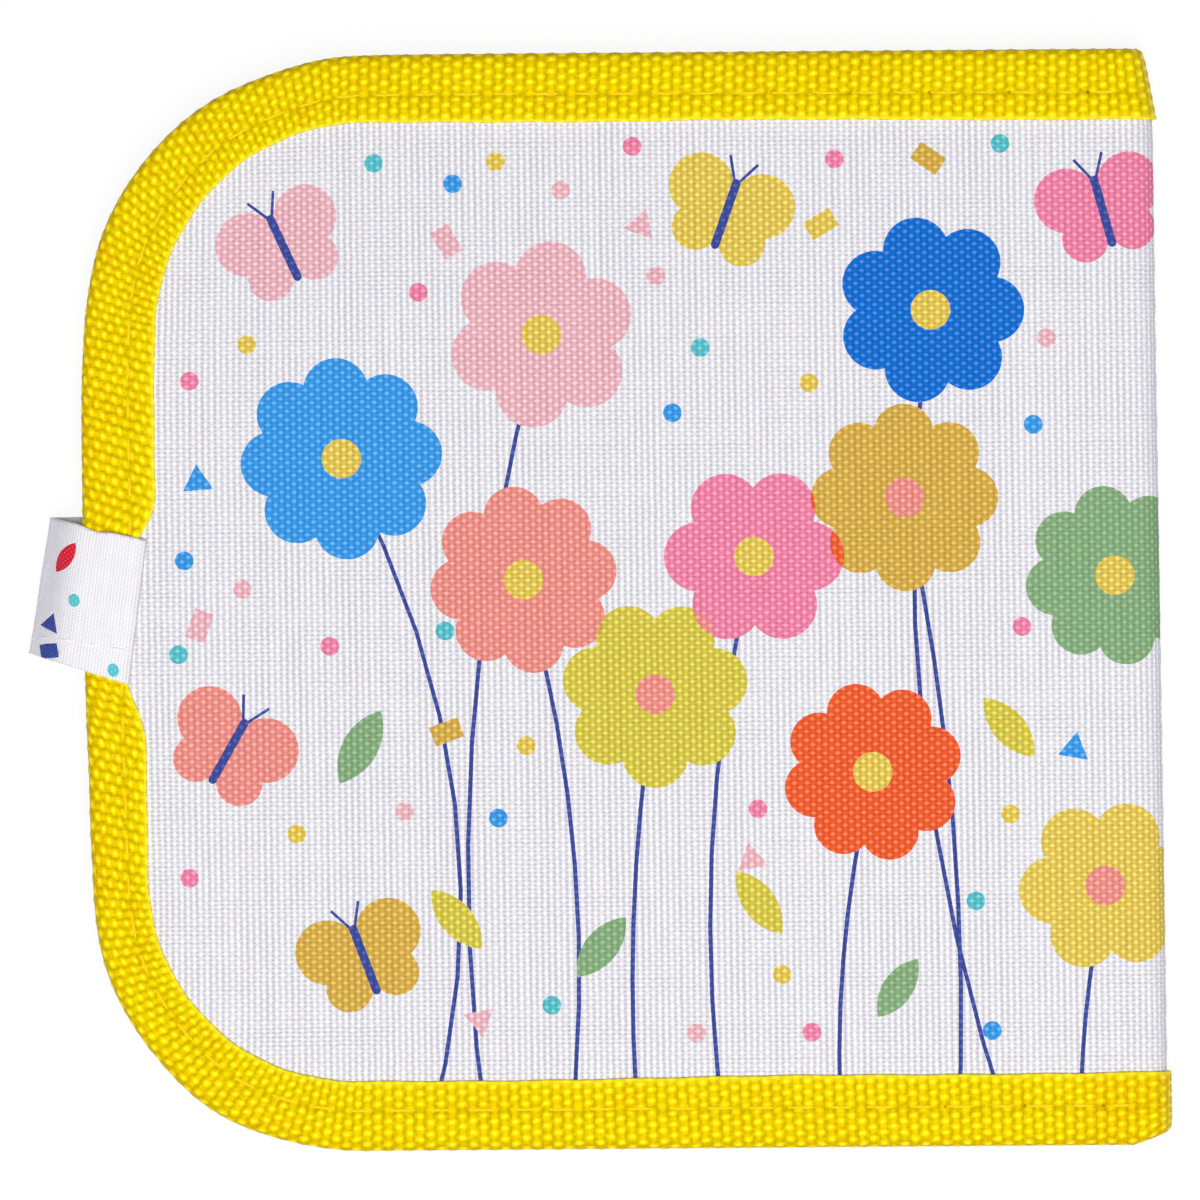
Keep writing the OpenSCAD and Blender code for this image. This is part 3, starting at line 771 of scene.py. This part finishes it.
def make_tape(name, side, material):
    """One half of the binding, from the spine line round the fore-edge and back."""
    t = np.linspace(0, LENGTH, RIBS * 4 + 1)
    edge, inward = station(t)
    d, h, q, n = section(t, side)
    nd, nh, woven = n[:, 0:1], n[:, 1:2], n[:, 2:3]
    hump = humps(t[None], d, q)
    seam, hole = seam_marks(t[None], d)
    selvedge = bell(q, 0.5 * MM) * (woven > 0)
    lift = PILLOW * hump * (1 - 0.7 * seam) * woven
    lift = lift - (SEAM_DENT * seam + HOLE_DENT * hole) * MM * (nh ** 2)
    lift = lift + CRIMP * selvedge * np.cos(2 * math.pi * t[None] / (0.95 * MM))
    crimp = CRIMP * np.sin(t[None] / MM * 0.33 + 1.3) * (woven > 0)
    d, h = d + nd * lift, h + nh * (lift - np.abs(crimp))
    flat = edge[None] + inward[None] * d[..., None]
    u, v = flat[..., 0] * (-side), flat[..., 1]
    points = fold(u, v, h)
    rows, columns = d.shape
    points = points.reshape(-1, 3)
    index = np.arange(rows * columns).reshape(rows, columns)
    a0, a1 = index[:, :-1], index[:, 1:]
    b0, b1 = np.roll(a0, -1, axis=0), np.roll(a1, -1, axis=0)
    faces = np.stack([a0, a1, b1, b0], axis=-1).reshape(-1, 4).tolist()
    faces += [index[:, 0].tolist(), index[::-1, -1].tolist()]
    faces = outwards(points, faces)
    cloth = np.stack([np.broadcast_to(t[None], d.shape) / MM, q / MM], axis=-1).reshape(-1, 2)
    piece = make_piece(name, points, faces, material, cloth)
    # Where the tape is tinted more orange: at the foot end by the spine, and along the fore-edge's middle
    # near its outer edge.
    warm_foot = 0.9 * bell(t - LENGTH + 8 * MM, 6 * MM)[None]
    warm = warm_foot + 0.5 * (bell(t - MIDDLE, 45 * MM)[None] * bell(d - 2 * MM, 2.5 * MM))
    # The pillow height that the finish reads is lowered along the seam, so the seam's groove is painted
    # darker, as painted shade.
    marks = {"hump": hump * (1 - 0.5 * seam), "hole": hole, "selvedge": selvedge, "warm": warm}
    for label, value in marks.items():
        value = np.broadcast_to(value, d.shape).astype(np.float32).ravel()
        piece.data.attributes.new(label, "FLOAT", "POINT").data.foreach_set("value", value)
    return piece


# %% [markdown]
# The tape's yellow is painted darker in the gaps between the pillows, as painted shade, and lighter
# on their tops, as a painted highlight. Each point of the mesh knows how high on its pillow it is,
# and the finish reads that. A fine bump adds the single filaments, and a dark orange-brown painted
# shade marks where the needle went in.

# %% Tape finish
def paint_tape():
    paint = new_paint("yellow binding tape")
    place, along, across = paint.cloth()
    high = paint.add("ShaderNodeAttribute", {"attribute_name": "hump"}, out=2)
    hole = paint.add("ShaderNodeAttribute", {"attribute_name": "hole"}, out=2)
    selvedge = paint.add("ShaderNodeAttribute", {"attribute_name": "selvedge"}, out=2)
    threads = ((across * 0.05 + along) * (2 * math.pi / 0.24)).sine()
    patch = paint.noise(place, 0.22, 3.0)
    speck = paint.noise(place, 1.6, 2.0)
    level = high + (speck - 0.5) * 0.5
    # Painted shade and highlight: the yellow is darkest low on each pillow, in the gaps, and palest on the
    # pillow tops, with random specks.
    body = paint.ramp(level, [
        (0.0, srgb(192, 164, 0)), (0.18, srgb(227, 200, 0)),
        (0.45, srgb(238, 215, 1)), (0.8, srgb(255, 250, 40)),
    ])
    warmth = paint.add("ShaderNodeAttribute", {"attribute_name": "warm"}, out=2)
    # More orange and a little darker in slow noise patches and where the warm attribute is high.
    orange_patch = (patch + warmth * 0.3).between(0.45, 0.75)
    warm = paint.ramp(orange_patch, [(0.0, (1, 1, 1, 1)), (1.0, (1.0, 0.9, 0.8, 1))])
    colour = paint.tint(body, warm)
    # Painted shade in the needle holes: dark orange-brown where the needle went in, beside the dent in the
    # mesh.
    colour = paint.tint(colour, srgb(120, 62, 0), "MIX", hole.between(0.3, 1.0))
    colour = paint.tint(colour, srgb(255, 244, 50), "MIX", selvedge * 0.7)
    return paint.finish({
        "Base Color": colour,
        "Roughness": 0.55,
        "Specular IOR Level": 0.25,
        "Specular Tint": (1.0, 0.85, 0.05, 1.0),
        "Normal": paint.bump(threads, 0.012 * MM),
    })


TAPE = paint_tape()
binding_front = make_tape("binding_front", -1, TAPE)
binding_back = make_tape("binding_back", 1, TAPE)

# %% [markdown]
# ## Stitches
# A seam is one stitch repeated along a path, which is work for Geometry Nodes. The tree bends a
# short thread so that its ends dive into the cloth and puts a copy at every step of the path. It is
# laid on the open cover, turned into a plain mesh and then folded with everything else.

# %% The stitch tree
def stitch_tree():
    tree = bpy.data.node_groups.new("stitches", "GeometryNodeTree")
    face = tree.interface
    face.new_socket("Geometry", in_out="INPUT", socket_type="NodeSocketGeometry")
    for label in ("Pitch", "Length", "Thread", "Rise", "Dive"):
        face.new_socket(label, in_out="INPUT", socket_type="NodeSocketFloat")
    face.new_socket("Material", in_out="INPUT", socket_type="NodeSocketMaterial")
    face.new_socket("Geometry", in_out="OUTPUT", socket_type="NodeSocketGeometry")

    def add(kind, values=None, **settings):
        node = tree.nodes.new(kind)
        for key, value in settings.items():
            setattr(node, key, value)
        for key, value in (values or {}).items():
            if isinstance(value, bpy.types.NodeSocket):
                tree.links.new(value, node.inputs[key])
            else:
                node.inputs[key].default_value = value
        return node

    given = add("NodeGroupInput").outputs
    half = add("ShaderNodeMath", {0: given["Length"], 1: 0.5}, operation="MULTIPLY").outputs[0]
    near = add("ShaderNodeMath", {0: half, 1: 0.8}, operation="MULTIPLY").outputs[0]
    minus_half = add("ShaderNodeMath", {0: half, 1: -1.0}, operation="MULTIPLY").outputs[0]
    minus_near = add("ShaderNodeMath", {0: near, 1: -1.0}, operation="MULTIPLY").outputs[0]
    sunk = add("ShaderNodeMath", {0: given["Dive"], 1: -1.0}, operation="MULTIPLY").outputs[0]
    spots = [(minus_half, sunk), (minus_near, given["Rise"]), (near, given["Rise"]), (half, sunk)]
    ends = [add("ShaderNodeCombineXYZ", {0: x, 2: z}).outputs[0] for x, z in spots]
    bend = add("GeometryNodeCurvePrimitiveBezierSegment", {
        "Resolution": 10, "Start": ends[0], "Start Handle": ends[1], "End Handle": ends[2], "End": ends[3],
    }).outputs[0]
    radius = add("ShaderNodeMath", {0: given["Thread"], 1: 0.5}, operation="MULTIPLY").outputs[0]
    ring = add("GeometryNodeCurvePrimitiveCircle", {"Resolution": 8, "Radius": radius}).outputs[0]
    thread = add("GeometryNodeCurveToMesh", {
        "Curve": bend, "Profile Curve": ring, "Fill Caps": True,
    }).outputs[0]
    steps = add("GeometryNodeCurveToPoints", {
        "Curve": given["Geometry"], "Length": given["Pitch"],
    }, mode="LENGTH")
    aim = add("FunctionNodeAlignRotationToVector", {"Vector": steps.outputs["Tangent"]}, axis="X").outputs[0]
    copies = add("GeometryNodeInstanceOnPoints", {
        "Points": steps.outputs["Points"], "Instance": thread, "Rotation": aim,
    }).outputs[0]
    real = add("GeometryNodeRealizeInstances", {"Geometry": copies}).outputs[0]
    dressed = add("GeometryNodeSetMaterial", {"Geometry": real, "Material": given["Material"]}).outputs[0]
    add("NodeGroupOutput", {0: dressed})
    return tree


STITCH_TREE = stitch_tree()


def sew(path, pitch, length, thread, rise, dive, material):
    """The stitches along a flat path, as points and faces on the open cover."""
    curve = bpy.data.curves.new("seam path", "CURVE")
    curve.dimensions = "3D"
    spline = curve.splines.new("POLY")
    spline.points.add(len(path) - 1)
    spline.points.foreach_set("co", np.column_stack([path, np.ones(len(path))]).ravel())
    holder = bpy.data.objects.new("seam path", curve)
    bpy.context.scene.collection.objects.link(holder)
    modifier = holder.modifiers.new("stitches", "NODES")
    modifier.node_group = STITCH_TREE
    sizes = {
        "Pitch": pitch, "Length": length, "Thread": thread, "Rise": rise, "Dive": dive, "Material": material,
    }
    for item in STITCH_TREE.interface.items_tree:
        if item.in_out == "INPUT" and item.name in sizes:
            modifier[item.identifier] = sizes[item.name]
    bpy.context.view_layer.update()
    ready = holder.evaluated_get(bpy.context.evaluated_depsgraph_get())
    mesh = bpy.data.meshes.new_from_object(ready)
    points = np.array([v.co for v in mesh.vertices])
    faces = [list(p.vertices) for p in mesh.polygons]
    bpy.data.objects.remove(holder)
    return points, faces


# %% [markdown]
# Thread is matt, with a fine unevenness where its plies cross.

# %% Thread finish
def paint_thread(name, colour):
    paint = new_paint(name)
    place = paint.add("ShaderNodeTexCoord", out=3)
    fine = paint.noise(place, 3000.0, 2.0)
    tone = paint.ramp(fine, [(0.3, (0.82, 0.8, 0.78, 1)), (0.7, (1, 1, 1, 1))])
    return paint.finish({
        "Base Color": paint.tint(colour, tone),
        "Roughness": 0.6,
        "Specular IOR Level": 0.15,
        "Normal": paint.bump(fine, 0.03 * MM),
    })


YELLOW_THREAD = paint_thread("yellow thread", srgb(246, 214, 6))
WHITE_THREAD = paint_thread("white thread", srgb(246, 246, 248))


# %% [markdown]
# A seam shows on both sides of the cover it goes through. The same stitches are folded twice, once
# at the tape's outer face and once, turned over, at its inner one.

# %% The binding's seam, on both faces of each cover
def make_seam(name, side):
    path = np.column_stack([SEAM[:, 0] * (-side), SEAM[:, 1], 0 * FINE])
    keep = (SEAM_RUN > PITCH / 2) & (SEAM_RUN < SEAM_LENGTH - PITCH / 2)
    seen = PITCH - 0.9 * MM
    points, faces = sew(path[keep], PITCH * 0.9999, seen, 0.55 * MM, 0.02 * MM, 0.45 * MM, YELLOW_THREAD)
    upper = OUTER - 0.4 * MM
    lower = OUTER - FOLDED + 0.3 * MM
    both = np.concatenate([
        fold(points[:, 0], points[:, 1], upper + points[:, 2]),
        fold(points[:, 0], points[:, 1], lower - points[:, 2]),
    ])
    faces = faces + [[i + len(points) for i in f[::-1]] for f in faces]
    if side > 0:
        faces = [f[::-1] for f in faces]
    return make_piece(name, both, outwards(both, faces), YELLOW_THREAD)


seam_front = make_seam("seam_front", -1)
seam_back = make_seam("seam_back", 1)

# %% [markdown]
# The leaves are held by one row of stitches through the canvas, just under the line that the book
# opens about.

# %% The row of stitches that holds the leaves, along the spine
low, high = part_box("spine_seam")
path = np.array([[0, low.y + 2 * MM, 0], [0, high.y - 2 * MM, 0]])
points, faces = sew(path, 5.4 * MM, 4.2 * MM, 0.5 * MM, 0.08 * MM, 0.4 * MM, WHITE_THREAD)
shift = CANVAS_OUT * math.radians(12)
both = fold(points[:, 0] + shift, points[:, 1], CANVAS_OUT + points[:, 2])
spine_stitches = make_piece("spine_stitches", both, outwards(both, faces), WHITE_THREAD)

# %% [markdown]
# ## The side loop
# The loop is a strap of the same canvas. It starts at the tape's inner edge, lies over the tape,
# runs out past the book, turns over softly and goes back in under the cover. It hangs a little
# askew: its ends lean one way and its long edges slope the other.

# %% The strap's line, seen from the book's foot
STRAP_T = 0.55 * MM
STRAP_W = 19.8 * MM
strap_line = np.array([  # out from the fore-edge and up from the table, in mm
    (7.35, 7.6), (7.15, 7.95), (6.5, 8.22), (5.2, 8.4), (3.4, 8.42), (1.4, 8.4), (0.0, 8.3),
    (-1.3, 7.95), (-2.5, 7.2), (-3.5, 6.05), (-4.35, 4.75), (-5.15, 3.4), (-5.85, 2.3),
    (-6.05, 1.7), (-5.4, 1.45), (-3.8, 1.8),
    (-2.2, 2.5), (-0.6, 3.05), (0.9, 3.55), (2.4, 4.3), (4.4, 5.05), (6.4, 5.2), (8.2, 5.2),
])


def smooth_line(points, count):
    """Catmull-Rom curve through the points, in even steps."""
    ends = np.concatenate([[2 * points[0] - points[1]], points, [2 * points[-1] - points[-2]]])
    fine = []
    for i in range(len(points) - 1):
        p0, p1, p2, p3 = ends[i:i + 4]
        for s in np.linspace(0, 1, 24, endpoint=False):
            fine.append(0.5 * (
                2 * p1 + (p2 - p0) * s + (2 * p0 - 5 * p1 + 4 * p2 - p3) * s ** 2
                + (3 * p1 - p0 - 3 * p2 + p3) * s ** 3
            ))
    fine = np.array(fine + [points[-1]])
    gone = np.concatenate([[0], np.cumsum(np.linalg.norm(np.diff(fine, axis=0), axis=1))])
    even = np.linspace(0, gone[-1], count)
    return np.stack([np.interp(even, gone, fine[:, i]) for i in range(2)], axis=1), gone[-1]


line, STRAP_L = smooth_line(strap_line * MM, 400)
STRAP_P = np.linspace(0, STRAP_L, 400)
far = line[:, 0].argmin()
print("strap length mm:", STRAP_L / MM)


def askew(reach, q):
    """How far out and how far along the edge a place q across the strap lies.

    Reach is 0 at the strap's inner end and 1 at its fold, which hangs 4 mm further up the edge.
    """
    out = (-0.09 - 0.05 * reach) * MM + (0.139 + 0.023 * reach) * q
    along = (-0.55 + 3.99 * reach) * MM + (1.007 - 0.059 * reach) * q
    return out, along


def strap(p, q, h):
    """A place p along and q across the strap, at height h off its middle, on the book."""
    x = np.interp(p, STRAP_P, line[:, 0])
    z = np.interp(p, STRAP_P, line[:, 1])
    slope = np.gradient(line, STRAP_P, axis=0)
    tx, tz = (np.interp(p, STRAP_P, slope[:, i]) for i in range(2))
    size = np.hypot(tx, tz)
    reach = np.where(p < STRAP_P[far], (line[0, 0] - x) / (line[0, 0] - line[far, 0]), 1)
    out, y = askew(reach, q)
    pinch = bell(x - 0.6 * MM, 1.6 * MM) * np.clip(q / (STRAP_W / 2), 0, 1) ** 3 * (z > 7 * MM)
    return np.stack([FORE + x + out + tz / size * h, y - 0.45 * MM * pinch, z - tx / size * h], axis=-1)


# %% [markdown]
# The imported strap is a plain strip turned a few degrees. Its marks are read in its own frame and laid
# at the same places on the soft one, which is then cut and closed like the cover.

# %% The strap's mesh, cut along its print
PACKED_LEG, PACKED_TURN = (-7 * MM, 8.5 * MM), math.radians(8)


def strap_flat(points):
    """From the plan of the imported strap's upper leg to the same place on the soft strap."""
    low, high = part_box("side_loop")
    x, y = points[:, 0] - FORE, points[:, 1] - (low.y + high.y) / 2
    out = x * math.cos(PACKED_TURN) - y * math.sin(PACKED_TURN)
    across = x * math.sin(PACKED_TURN) + y * math.cos(PACKED_TURN) - 0.4 * MM
    plan = np.interp(out, PACKED_LEG, (line[far, 0] + 0.3 * MM, line[0, 0] - 0.3 * MM))
    return np.stack([np.interp(-plan, -line[:far, 0], STRAP_P[:far]), across], axis=1)


def strip_outline(length, width, step):
    a = np.linspace(0, length, int(length / step), endpoint=False)
    b = np.linspace(-width / 2, width / 2, int(width / step), endpoint=False)
    return np.concatenate([
        np.column_stack([a, 0 * a - width / 2]), np.column_stack([0 * b + length, b]),
        np.column_stack([length - a, 0 * a + width / 2]), np.column_stack([0 * b, -b]),
    ])


loop_cuts, loop_inks = read_inks("loop_print_", strap_flat)
outline = strip_outline(STRAP_L, STRAP_W, 0.5 * MM)
flat, triangles = cut_sheet(outline, 0.6 * MM, loop_cuts)
dyes = dye_of(flat, triangles, loop_inks)
soft = 0.05 * MM * np.sin(flat[:, 0] / MM * 0.8) * np.sin(flat[:, 1] / MM * 0.5 + 1)
shell = [strap(flat[:, 0], flat[:, 1], s * STRAP_T / 2 + soft) for s in (1, -1)]
points = np.concatenate(shell)
faces, rim = closed_faces(triangles, len(flat))
faces = outwards(points, faces)
white = np.tile(WHITE, (len(triangles) + rim, 1))
dyes = np.concatenate([dyes, white])
loop_strap = make_piece("loop_strap", points, faces, STRAP, np.tile(flat / MM, (2, 1)), dyes)

# %% [markdown]
# A short row of white stitches runs along the strap's lower edge.

# %% The strap's hem stitches
hem_p = np.linspace(2.0 * MM, STRAP_P[far] - 4 * MM, 60)
hem_q = np.linspace(-5.6 * MM, -7.0 * MM, 60)
hem_path = np.column_stack([hem_p, hem_q, 0 * hem_p])
points, faces = sew(hem_path, 3.0 * MM, 2.3 * MM, 0.38 * MM, 0.06 * MM, 0.25 * MM, WHITE_THREAD)
hem = strap(points[:, 0], points[:, 1], STRAP_T / 2 - 0.02 * MM + points[:, 2])
loop_hem = make_piece("loop_hem", hem, outwards(hem, faces), WHITE_THREAD)

# %% [markdown]
# ## What moves with what
# The front cover opens about the spine's outermost line. The canvas, the lining and the tape cross
# that line in one piece; here they are only baked in place, and BEND gives two points on that line.
# Everything else follows the cover that it is sewn to.

# %% Bodies, finishes and the imported pieces that each one stands for
BEND = ((SPINE, 0, MID - 0.9 * MM), (SPINE, 0, MID + 1.2 * MM))
PRINTS = [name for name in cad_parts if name.startswith(("front_print_", "back_print_"))]
LOOP_PRINTS = [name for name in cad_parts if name.startswith("loop_print_")]
for piece, slot, nodes in [
    (cover_cloth, "cover_canvas", ["front_canvas", "back_canvas"] + PRINTS),
    (cover_lining, "lining_vinyl", ["front_lining", "back_lining"]),
    (binding_front, "binding_tape", ["front_binding"]),
    (binding_back, "binding_tape", ["back_binding"]),
    (seam_front, "seam_thread", ["front_seam"]),
    (seam_back, "seam_thread", ["back_seam"]),
]:
    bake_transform(piece)
    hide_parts(*nodes)

for piece, body, slot, nodes in [
    (leaves, "back_cover", "page_vinyl", ["pages"]),
    (spine_stitches, "back_cover", "spine_thread", ["spine_seam"]),
    (loop_strap, "front_cover", "cover_canvas", ["side_loop"] + LOOP_PRINTS),
    (loop_hem, "front_cover", "spine_thread", []),
]:
    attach(piece, body)
    if nodes:
        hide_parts(*nodes)
print(len(PRINTS), "prints on the covers,", len(LOOP_PRINTS), "on the loop")

# %% [markdown]
# The flat size and area of the canvas, as it was cut, are worked out here.

# %% The size the cloth was cut to
def cut_area(margin):
    wide, tall, r = 2 * (HALF - margin), 2 * (EDGE - margin), CORNER - margin
    return (wide, tall), wide * tall - (4 - math.pi) * r ** 2


size, area = cut_area(TAPE_T)

# %% [markdown]
# ## Camera, light and floor
# The photograph looks straight down on the book through a long lens. Soft lamps and an even sky
# light it so that a colour comes out as it is written, and the floor shows white with a faint
# shadow.

# %% Camera
FRAME = 166.4 * MM  # what the picture takes in, at the height of the cover
HIGH = 1.6
camera_data = bpy.data.cameras.new("camera")
camera = bpy.data.objects.new("camera", camera_data)
bpy.context.scene.collection.objects.link(camera)
camera.location = (0.72 * MM, 0.15 * MM, HIGH)
camera.rotation_euler = (0, 0, -math.radians(0.9))
camera_data.sensor_width = 36
camera_data.lens = 36 * (HIGH - 7 * MM) / FRAME
camera_data.clip_start, camera_data.clip_end = 0.01, 10
bpy.context.scene.camera = camera
bpy.context.scene.view_settings.view_transform = "Standard"

# %% [markdown]
# Two round lamps above the foot of the book: a large one that does most of the work, and a weak one
# lower down that rakes over the weave.

# %% Lamps
def lamp(name, place, size, power):
    data = bpy.data.lights.new(name, "AREA")
    data.shape, data.size, data.energy, data.color = "DISK", size, power, (1.0, 0.985, 0.94)
    obj = bpy.data.objects.new(name, data)
    obj.location = place
    obj.rotation_euler = (-Vector(place)).to_track_quat("-Z", "Y").to_euler()
    bpy.context.scene.collection.objects.link(obj)
    return obj


lamp("key", (0.1, -0.55, 1.2), 0.5, 4.5)
lamp("top", (0.05, -0.25, 1.5), 0.7, 18.5)

# %% [markdown]
# The sky fills the shadows with a dim, slightly violet light, and is plain white wherever it is seen.

# %% Sky
sky = Paint(bpy.data.worlds.new("sky"))
dim = sky.add("ShaderNodeBackground", None, {"Color": (0.78, 0.76, 1.0, 1), "Strength": 0.24})
white = sky.add("ShaderNodeBackground", None, {"Color": (1, 1, 1, 1), "Strength": 1.0})
mixed = sky.add("ShaderNodeMixShader", None, {0: sky.straight(), 1: dim, 2: white})
sky.add("ShaderNodeOutputWorld", None, {"Surface": mixed})
bpy.context.scene.world = sky.owner

# %% [markdown]
# The floor mostly glows white to the camera, and one part in eleven of it is paper that takes the
# book's shadow.

# %% Floor
floor_paint = new_paint("white floor")
paper = floor_paint.add("ShaderNodeBsdfDiffuse", None, {"Color": (0.9, 0.9, 0.95, 1)})
glow = floor_paint.add("ShaderNodeEmission", None, {"Color": (1, 1, 1, 1), "Strength": 1.0})
mixed = floor_paint.add("ShaderNodeMixShader", None, {0: floor_paint.straight() * 0.91, 1: paper, 2: glow})
floor_paint.add("ShaderNodeOutputMaterial", None, {"Surface": mixed})
floor_mesh = bpy.data.meshes.new("floor")
far_off = 3.0
corners = [(x * far_off, y * far_off, 0) for x, y in ((-1, -1), (1, -1), (1, 1), (-1, 1))]
floor_mesh.from_pydata(corners, [], [(0, 1, 2, 3)])
floor_mesh.materials.append(floor_paint.owner)
floor = bpy.data.objects.new("floor", floor_mesh)
bpy.context.scene.collection.objects.link(floor)
